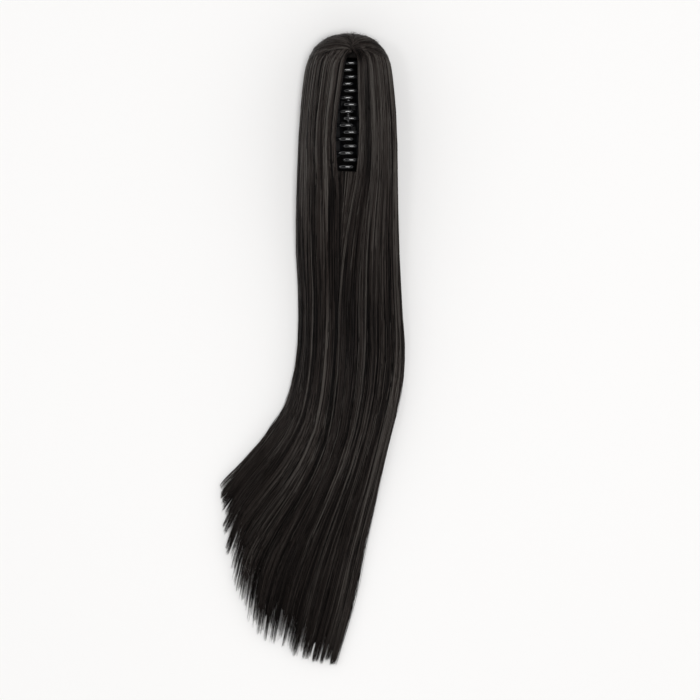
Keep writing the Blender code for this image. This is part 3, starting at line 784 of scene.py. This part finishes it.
class StudioSettings(bpy.types.PropertyGroup):
    floor_colour: FloatVectorProperty(
        name="Floor Colour", description="Colour of the floor", subtype="COLOR", size=3,
        min=0.0, max=1.0, default=(0.9, 0.895, 0.89),
    )
    view_width: FloatProperty(
        name="View Width", description="Width of the floor that the camera sees", subtype="DISTANCE",
        unit="LENGTH", min=0.1, max=5.0, default=0.658,
    )
    camera_height: FloatProperty(
        name="Camera Height", description="Height of the camera over the floor", subtype="DISTANCE",
        unit="LENGTH", min=0.5, max=20.0, default=5.0,
    )
    sky: FloatProperty(
        name="Surround", description="Strength of the even light around", min=0.0, max=5.0, default=0.85
    )
    key: FloatProperty(
        name="Key Light", description="Power of the main light", subtype="POWER", unit="POWER",
        min=0.0, max=500.0, default=53.0,
    )


class HairpieceSettings(bpy.types.PropertyGroup):
    hair: PointerProperty(type=HairSettings)
    claw: PointerProperty(type=ClawSettings)
    studio: PointerProperty(type=StudioSettings)


class HAIRPIECE_OT_mass(bpy.types.Operator):
    """Builds the closed mass of hair under the strands: left side, right side and back layer"""

    bl_idname = "hairpiece.mass"
    bl_label = "Mass of Hair"

    def execute(self, context):
        look = context.scene.hairpiece.hair
        finish = core_material(look)
        for side in (-1, 1):
            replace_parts(side_core(side, finish, look.seed + side), "hair_" + NAMES[side])
        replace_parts(back_core(finish, look.seed), "hair_back")
        return {"FINISHED"}


def streak_tone(random, u, t):
    """A tone from 0 to 1 that neighbouring locks share, in streaks that come and go along the hair."""
    knots = np.linspace(0, 1, 64)
    changing = np.stack([np.interp(u, knots, random.uniform(0, 1, 64)) for _ in range(8)], -1)
    steady = np.interp(u, np.linspace(0, 1, 22), random.uniform(0, 1, 22))
    place = t / LAST_ROW * 7
    i = np.clip(np.floor(place).astype(int), 0, 6)
    first, last = np.take_along_axis(changing, i, 1), np.take_along_axis(changing, i + 1, 1)
    return 0.55 * (first + (last - first) * smooth(place - i)) + 0.45 * steady[:, None]


def shade(side, u, t):
    """How much lighter or darker the hair is painted along its course, as light and shade, and the
    painted shade in its grooves.
    """
    tone = np.interp(t, SHADE_ROWS, SHADES)
    for groove_side, rows, places in GROOVE_SHADE:
        if groove_side == side:
            ends = smooth((t - rows[0]) / 0.8) * (1 - smooth((t - rows[-1] + 0.8) / 0.8))
            tone = tone - 0.4 * ends * np.exp(-(((u - np.interp(t, rows, places)) / 0.04) ** 2))
    return tone


def eased(lines, t):
    """The lines with their turns at the crown rounded off."""
    for _ in range(3):
        mean = (lines[:, :-2] + lines[:, 2:]) / 2
        share = 0.5 * (1 - smooth((t[:, 1:-1] - 4.5) / 1.5))
        lines[:, 1:-1] += (mean - lines[:, 1:-1]) * share[..., None]
    return lines


def whorl_hollow_shade(points):
    """Painted shade: 1 in the deep hollow between the whorl and the slot, falling to 0 around it."""
    away = ((points[..., :2] - HOLLOW_CENTRE) / HOLLOW_REACH) ** 2
    return np.exp(-away.sum(-1))


def begin(context, shift):
    """The look of the hair and the random numbers of one piece."""
    look = context.scene.hairpiece.hair
    return look, np.random.default_rng(look.seed + shift)


class HAIRPIECE_OT_sides(bpy.types.Operator):
    """Lays the long strands of both sides, from the whorl at the crown to the tips"""

    bl_idname = "hairpiece.sides"
    bl_label = "Side Strands"

    def execute(self, context):
        for side in (-1, 1):
            look, random = begin(context, 10 + side)
            count = look.locks
            clumps = Clumps(side, look.seed)
            v = (np.arange(count) + random.uniform(0, 1, count)) / count
            u = 1 - (1 - v) ** 1.9
            start = random.uniform(0.0, 2.6, count) * random.uniform(0.3, 1.0, count)
            t = rows_of(start, clumps.end(u, random), POINTS["sides"])
            fan = smooth((t - start[:, None]) / random.uniform(0.5, 1.4, (count, 1)))
            across = u[:, None] + wandering(random, t, 0.022) * smooth((t - 1) / 4)
            across = clumps.gathered(across, t)
            least = LIP_CLEARANCE * (1 - smooth((t - 8.4) / 1.5)) * smooth((t - 2) / 2) - 0.01
            across = np.maximum(across * fan, least)
            across = np.minimum(across, 1.0)
            lift = random.uniform(0.1, 1.0, (count, 1)) * SIDE_LIFT + wandering(random, t, 0.5 * MM)
            lines = eased(top_surface(side, across, t, lift), t)
            # Painted shade: strands that lie lower under the others are darker, the highest lighter
            depth = 0.35 * (lift / SIDE_LIFT - 0.55)
            tones = 1.4 * streak_tone(random, u, t) + 0.6 * random.uniform(0, 1, (count, 1)) - 0.5
            # Painted light and shade along the course and in the grooves, and painted shade in the
            # hollow at the whorl
            tones = tones + depth + shade(side, across, t) - 0.7 * whorl_hollow_shade(lines)
            grow(look, "strands_" + NAMES[side], lines, tones, side)
        return {"FINISHED"}


class HAIRPIECE_OT_parting(bpy.types.Operator):
    """Lays the strands that close the parting below the slot"""

    bl_idname = "hairpiece.parting"
    bl_label = "Parting Strands"

    def execute(self, context):
        lines, tones = [], []
        for side in (-1, 1):
            look, random = begin(context, 20 + side)
            count = PARTING_LOCKS
            start = random.uniform(8.05, 9.0, count)
            end = random.uniform(13.0, LAST_ROW, count)
            t = rows_of(start, end, POINTS["parting"])
            gap = between("lip_" + NAMES[side], t)
            width = abs(plan_point(NAMES[side], t)[..., 0] - plan_point("mid", t)[..., 0]) - gap
            share = random.uniform(-0.15, 1.0, (count, 1))
            u = -share * gap / width + wandering(random, t, 0.03) * smooth((t - 9) / 3)
            lift = random.uniform(-1.5, 0.8, (count, 1)) * MM
            lines.append(top_surface(side, u, t, lift))
            tones.append(random.uniform(0.1, 1, count))
        grow(look, "strands_parting", np.concatenate(lines), np.concatenate(tones), 20)
        return {"FINISHED"}


class HAIRPIECE_OT_back(bpy.types.Operator):
    """Lays the strands of the back layer, which the piece lies on"""

    bl_idname = "hairpiece.back"
    bl_label = "Back Strands"

    def execute(self, context):
        look, random = begin(context, 30)
        count = BACK_LOCKS
        start = random.uniform(0.0, 2.5, count)
        u = 2 * (np.arange(count) + random.uniform(0, 1, count)) / count - 1
        u = np.sign(u) * (1 - (1 - abs(u)) ** 1.5)
        left, right = Clumps(-1, look.seed), Clumps(1, look.seed)
        end = np.where(u < 0, left.end(abs(u), random), right.end(abs(u), random)) - 0.15
        t = rows_of(start, end, POINTS["back"])
        across = u[:, None] + wandering(random, t, 0.02)
        across = np.where(across < 0, -left.gathered(abs(across), t), right.gathered(abs(across), t))
        across = np.clip(across, -1, 1)
        edge = smooth((abs(across) - 0.9) / 0.1)
        height = (0.45 + random.uniform(0, 1, (count, 1)) * (0.5 + 2.2 * edge)) * MM
        lines = under_surface(across, t, height)
        changed = {"Strands per Lock": look.strands - 1}
        grow(look, "strands_back", lines, random.uniform(0, 1, count), 30, changed)
        return {"FINISHED"}


class HAIRPIECE_OT_ends(bpy.types.Operator):
    """Feathers the ends of the hair with fine short strands"""

    bl_idname = "hairpiece.ends"
    bl_label = "Feathered Ends"

    def execute(self, context):
        look, random = begin(context, 40)
        lines, tones = [], []
        for side in (-1, 1):
            count = END_LOCKS
            clumps = Clumps(side, look.seed)
            u = 1 - (1 - random.uniform(0, 1, count)) ** 1.4
            start = random.uniform(13.5, 16.5, count)
            t = rows_of(start, clumps.end(u, random) + 0.1, POINTS["ends"])
            across = u[:, None] + wandering(random, t, 0.02)
            across = np.clip(clumps.gathered(across, t), -0.05, 1.02)
            lift = random.uniform(-1.5, 1.4, (count, 1)) * MM
            lines.append(top_surface(side, across, t, lift))
            tones.append(0.65 * random.uniform(0, 1, count))
        changed = {"Strands per Lock": 4, "Spread": 1.5 * MM, "Wave": 1.6 * MM, "Width": 0.42 * MM}
        grow(look, "strands_ends", np.concatenate(lines), np.concatenate(tones), 40, changed)
        return {"FINISHED"}


class HAIRPIECE_OT_crown(bpy.types.Operator):
    """Lays the strands that run from the whorl over the back of the crown"""

    bl_idname = "hairpiece.crown"
    bl_label = "Crown Strands"

    def execute(self, context):
        look, random = begin(context, 45)
        lines = []
        for side in (-1, 1):
            start = random.uniform(0.0, 1.8, (CROWN_LOCKS, 1))
            t = start + (0.25 + 1.3 * start) * np.linspace(0.0, 1.0, POINTS["crown"]) ** 1.5
            u = np.linspace(0.04, 1.0, POINTS["crown"]) ** 0.9 + wandering(random, t, 0.01)
            lift = random.uniform(0.2, 1.0, (CROWN_LOCKS, 1)) * MM
            lines.append(top_surface(side, np.clip(u, 0, 1), t, lift))
        lines = np.concatenate(lines)
        # Painted shade in the hollow between the whorl and the slot
        tones = random.uniform(0.15, 1.0, len(lines))[:, None] - 0.7 * whorl_hollow_shade(lines)
        changed = {"Strands per Lock": 3, "Wave": 0.6 * MM, "Width": 0.5 * MM}
        grow(look, "strands_crown", lines, tones, 45, changed)
        return {"FINISHED"}


class HAIRPIECE_OT_fibres(bpy.types.Operator):
    """Adds the short fibres that stand up at the crown"""

    bl_idname = "hairpiece.fibres"
    bl_label = "Crown Fibres"

    def execute(self, context):
        look, random = begin(context, 50)
        count = CROWN_FIBRES
        side = np.where(random.uniform(0, 1, count) < 0.5, -1, 1)
        along = np.linspace(0, 1, POINTS["fibres"])
        t = random.uniform(0.0, 1.5, (count, 1)) + 0 * along
        u = random.uniform(0.25, 0.88, (count, 1)) + 0.15 * along
        lift = random.uniform(0.5, 2.6, (count, 1)) * MM * along**1.5 + 0.4 * MM
        lines = np.where(
            side[:, None, None] < 0, top_surface(-1, u, t, lift), top_surface(1, u, t, lift)
        )
        changed = {"Strands per Lock": 1, "Spread": 1.5 * MM, "Wave": 1.2 * MM, "Width": 0.14 * MM}
        grow(look, "crown_fibres", lines, random.uniform(0.3, 1.2, count), 50, changed)
        return {"FINISHED"}


class HAIRPIECE_OT_strays(bpy.types.Operator):
    """Adds single strands that stray from the outer edges"""

    bl_idname = "hairpiece.strays"
    bl_label = "Stray Strands"

    def execute(self, context):
        look, random = begin(context, 60)
        lines = []
        for side, count, first, last, reach, most in (
            (-1, 30, 11.0, 16.0, 0.06, 6.0),
            (-1, 14, 15.4, 16.4, 0.07, 1.5),
            (1, 22, 1.5, 15.0, 0.05, 6.0),
        ):
            start = random.uniform(first, last, count)
            end = np.minimum(start + random.uniform(1.8, 4.0, count), LAST_ROW)
            t = rows_of(start, end, POINTS["strays"])
            turn = np.linspace(0, 1, POINTS["strays"])
            out = random.uniform(0.2 * reach, reach, (count, 1)) * np.sin(2.2 * turn)
            across = 1.0 + out + wandering(random, t, 0.006)
            lift = random.uniform(-1.0, most, (count, 1)) * MM * np.sin(math.pi * turn)
            points = top_surface(side, across, t)
            points[..., 2] += np.maximum(lift, 0.0)
            lines.append(points)
        lines = np.concatenate(lines)
        changed = {"Strands per Lock": 3, "Spread": 0.5 * MM, "Wave": 0.8 * MM, "Width": 0.4 * MM}
        grow(look, "stray_strands", lines, random.uniform(0.2, 1, len(lines)), 60, changed)
        return {"FINISHED"}


def plastic_material(name, colour, roughness, gloss):
    """Moulded plastic with a faint ripple."""
    made, tree, shader = new_material(name, base_color=(*colour, 1.0), specular_ior_level=gloss)
    ripple = noise(tree, tree.add("ShaderNodeTexCoord", output="Object"), 220.0, 2.0)
    tree.feed(shader, "Roughness", roughness + 0.1 * (ripple - 0.5))
    bump(tree, shader, ripple, 0.15, 0.2 * MM)
    return made


def steel_material(claw):
    """Drawn steel wire with fine lines, darkened as painted shade."""
    made, tree, shader = new_material("hinge_steel", base_color=(*claw.shaded_steel_colour, 1.0), metallic=1.0)
    lines = noise(tree, tree.add("ShaderNodeTexCoord", output="Object"), 900.0, 1.0)
    tree.feed(shader, "Roughness", 0.4 + 0.2 * lines)
    return made


def tooth_mesh():
    """A rounded tooth of the right jaw that follows its arc, round the origin."""
    first, last = math.atan2(14.6, 24.2) - 0.12, math.radians(102.0)
    tip = 0.9 + 0.1 * np.sin(np.linspace(0.2, 1.0, 6) * math.pi / 2)
    share = np.concatenate((np.linspace(0, 0.9, 18), tip))
    angle = first + (last - first) * share
    radius = TOOTH_RADIUS - TOOTH_DIP * share**6
    blunt = np.maximum(np.sqrt(1 - np.clip((share - 0.93) / 0.07, 0, 1) ** 2), 0.12)
    wide = (TOOTH_HALF_WIDTH - 0.45 * MM * share) * blunt
    thick = (TOOTH_HALF_THICKNESS - 0.15 * MM * share) * blunt
    around = np.linspace(0, math.tau, 16, endpoint=False)
    below = np.where(np.sin(around) < 0, 1.4, 1.0)
    reach = radius[:, None] + thick[:, None] * np.sin(around) * below
    y = wide[:, None] * np.cos(around)
    points = np.stack((reach * np.cos(angle)[:, None], y, reach * np.sin(angle)[:, None]), -1)
    rings, sides = len(share), len(around)
    number = np.arange(rings * sides).reshape(rings, sides)
    turned = np.roll(number, -1, 1)
    faces = np.stack((number[:-1], number[1:], turned[1:], turned[:-1]), -1).reshape(-1, 4).tolist()
    faces += [number[0].tolist(), number[-1, ::-1].tolist()]
    mesh = bpy.data.meshes.new("tooth")
    mesh.from_pydata(points.reshape(-1, 3).tolist(), [], faces)
    mesh.shade_smooth()
    return mesh


def teeth_tree():
    """Geometry Nodes: sets a row of teeth along Y."""
    sockets = (
        ("Tooth", "INPUT", "Geometry", None),
        ("Teeth", "INPUT", "Int", None),
        ("Pitch", "INPUT", "Float", None),
        ("First", "INPUT", "Float", None),
        ("Finish", "INPUT", "Material", None),
        ("Row", "OUTPUT", "Geometry", None),
    )
    group, tree, given = new_group("Teeth", sockets)
    start = tree.add("ShaderNodeCombineXYZ", {}, {"Y": given["First"]})
    step = tree.add("ShaderNodeCombineXYZ", {}, {"Y": 0.0 - given["Pitch"]})
    inputs = {"Count": given["Teeth"], "Start Location": start, "Offset": step}
    line = tree.add("GeometryNodeMeshLine", {}, inputs)
    row = tree.add("GeometryNodeInstanceOnPoints", {}, {"Points": line, "Instance": given["Tooth"]})
    row = tree.add("GeometryNodeRealizeInstances", {}, {0: row})
    row = tree.add("GeometryNodeSetMaterial", {}, {"Geometry": row, "Material": given["Finish"]})
    tree.add("NodeGroupOutput", {}, {"Row": row})
    return group


def row_of_teeth(name, side, claw, finish):
    """The rounded teeth of one jaw, over the plain ones of its solid."""
    source = placed(name + "_source", tooth_mesh())
    modifier = source.modifiers.new("Teeth", "NODES")
    modifier.node_group = bpy.data.node_groups.get("Teeth") or teeth_tree()
    first = claw.pitch * ((claw.teeth - 1) / 2 + 0.25)
    values = {"Teeth": claw.teeth, "Pitch": claw.pitch, "First": first, "Finish": finish}
    made = baked(source, modifier, values, name)
    points = places_of(made.data) * (side, side, 1) + np.array(CLAW_CENTRE)
    made.data.vertices.foreach_set("co", points.ravel())
    outwards(made.data)
    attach(made, "jaw_" + NAMES[side])


class HAIRPIECE_OT_claw(bpy.types.Operator):
    """Finishes the claw clip: black jaws with glossy rounded teeth on a steel pin and spring"""

    bl_idname = "hairpiece.claw"
    bl_label = "Claw Clip"

    def execute(self, context):
        claw = context.scene.hairpiece.claw
        dull = plastic_material("claw_plastic", claw.plastic_colour, 0.5, 0.12)
        glossy = plastic_material("tooth_plastic", claw.plastic_colour, claw.plastic_roughness, 0.75)
        steel = steel_material(claw)
        finishes = {
            "claw_jaw_left": dull,
            "claw_jaw_right": dull,
            "hinge_pin": steel,
            "torsion_spring": steel,
        }
        for node, finish in finishes.items():
            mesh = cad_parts[node].data
            mesh.materials.clear()
            mesh.materials.append(finish)
        for side in (-1, 1):
            row_of_teeth("claw_teeth_" + NAMES[side], side, claw, glossy)
        return {"FINISHED"}


def softbox(name, place, size, power):
    """A square light that shines on the middle of the piece."""
    light = bpy.data.lights.new(name, "AREA")
    light.shape = "SQUARE"
    light.size = size
    light.energy = power
    made = placed(name, light)
    made.location = place
    made.rotation_euler = (Vector((0.02, 0.0, 0.0)) - Vector(place)).to_track_quat("-Z", "Y").to_euler()
    made.visible_camera = False


class HAIRPIECE_OT_studio(bpy.types.Operator):
    """Sets up a plain pale floor, soft lights and the camera straight above"""

    bl_idname = "hairpiece.studio"
    bl_label = "Studio"

    def execute(self, context):
        studio = context.scene.hairpiece.studio
        mesh = bpy.data.meshes.new("floor")
        reach = 6.0
        corners = [(-reach, -reach, 0), (reach, -reach, 0), (reach, reach, 0), (-reach, reach, 0)]
        mesh.from_pydata(corners, [], [(0, 1, 2, 3)])
        finish, _, _ = new_material(
            "floor_paper", base_color=(*studio.floor_colour, 1.0), roughness=0.9, specular_ior_level=0.1
        )
        mesh.materials.append(finish)
        placed("floor", mesh)

        world = bpy.data.worlds.new("studio")
        world.use_nodes = True
        tree = Tree(world.node_tree)
        shader = world.node_tree.nodes["Background"]
        shader.inputs["Color"].default_value = (1.0, 0.995, 0.99, 1.0)
        height = tree.split(tree.add("ShaderNodeTexCoord"))[2]
        zenith = (height - 0.6).at_least(0.0).at_most(0.3)
        tree.feed(shader, "Strength", studio.sky * (1.0 - 2.8 * zenith))
        context.scene.world = world
        softbox("overhead_light", (0.35, 0.1, 3.2), 1.1, studio.key)
        softbox("side_light", (-1.5, 0.4, 2.8), 0.5, studio.key * 0.12)

        camera = bpy.data.cameras.new("camera")
        camera.sensor_width = 36.0
        camera.lens = camera.sensor_width * studio.camera_height / studio.view_width
        camera.clip_end = 100.0
        made = placed("camera", camera)
        made.location = (*VIEW_CENTRE, studio.camera_height)
        context.scene.camera = made
        context.scene.view_settings.view_transform = "Standard"
        return {"FINISHED"}


STEPS = (
    HAIRPIECE_OT_mass,
    HAIRPIECE_OT_sides,
    HAIRPIECE_OT_parting,
    HAIRPIECE_OT_back,
    HAIRPIECE_OT_ends,
    HAIRPIECE_OT_crown,
    HAIRPIECE_OT_fibres,
    HAIRPIECE_OT_strays,
    HAIRPIECE_OT_claw,
    HAIRPIECE_OT_studio,
)


class HAIRPIECE_PT_panel(bpy.types.Panel):
    """Lists the steps that dress the hairpiece"""

    bl_idname = "HAIRPIECE_PT_panel"
    bl_label = "Hairpiece"
    bl_space_type = "VIEW_3D"
    bl_region_type = "UI"
    bl_category = "Hairpiece"

    def draw(self, context):
        settings = context.scene.hairpiece
        for group in (settings.hair, settings.claw, settings.studio):
            box = self.layout.box()
            for name in group.bl_rna.properties.keys():
                if name not in ("rna_type", "name"):
                    box.prop(group, name)
        for step in STEPS:
            self.layout.operator(step.bl_idname)


CLASSES = (HairSettings, ClawSettings, StudioSettings, HairpieceSettings, *STEPS, HAIRPIECE_PT_panel)


def register():
    for each in CLASSES:
        bpy.utils.register_class(each)
    bpy.types.Scene.hairpiece = PointerProperty(type=HairpieceSettings)


def unregister():
    del bpy.types.Scene.hairpiece
    for each in reversed(CLASSES):
        bpy.utils.unregister_class(each)


def main():
    register()
    for step in STEPS:
        getattr(bpy.ops.hairpiece, step.bl_idname.split(".")[1])()


if __name__ == "__main__":
    main()
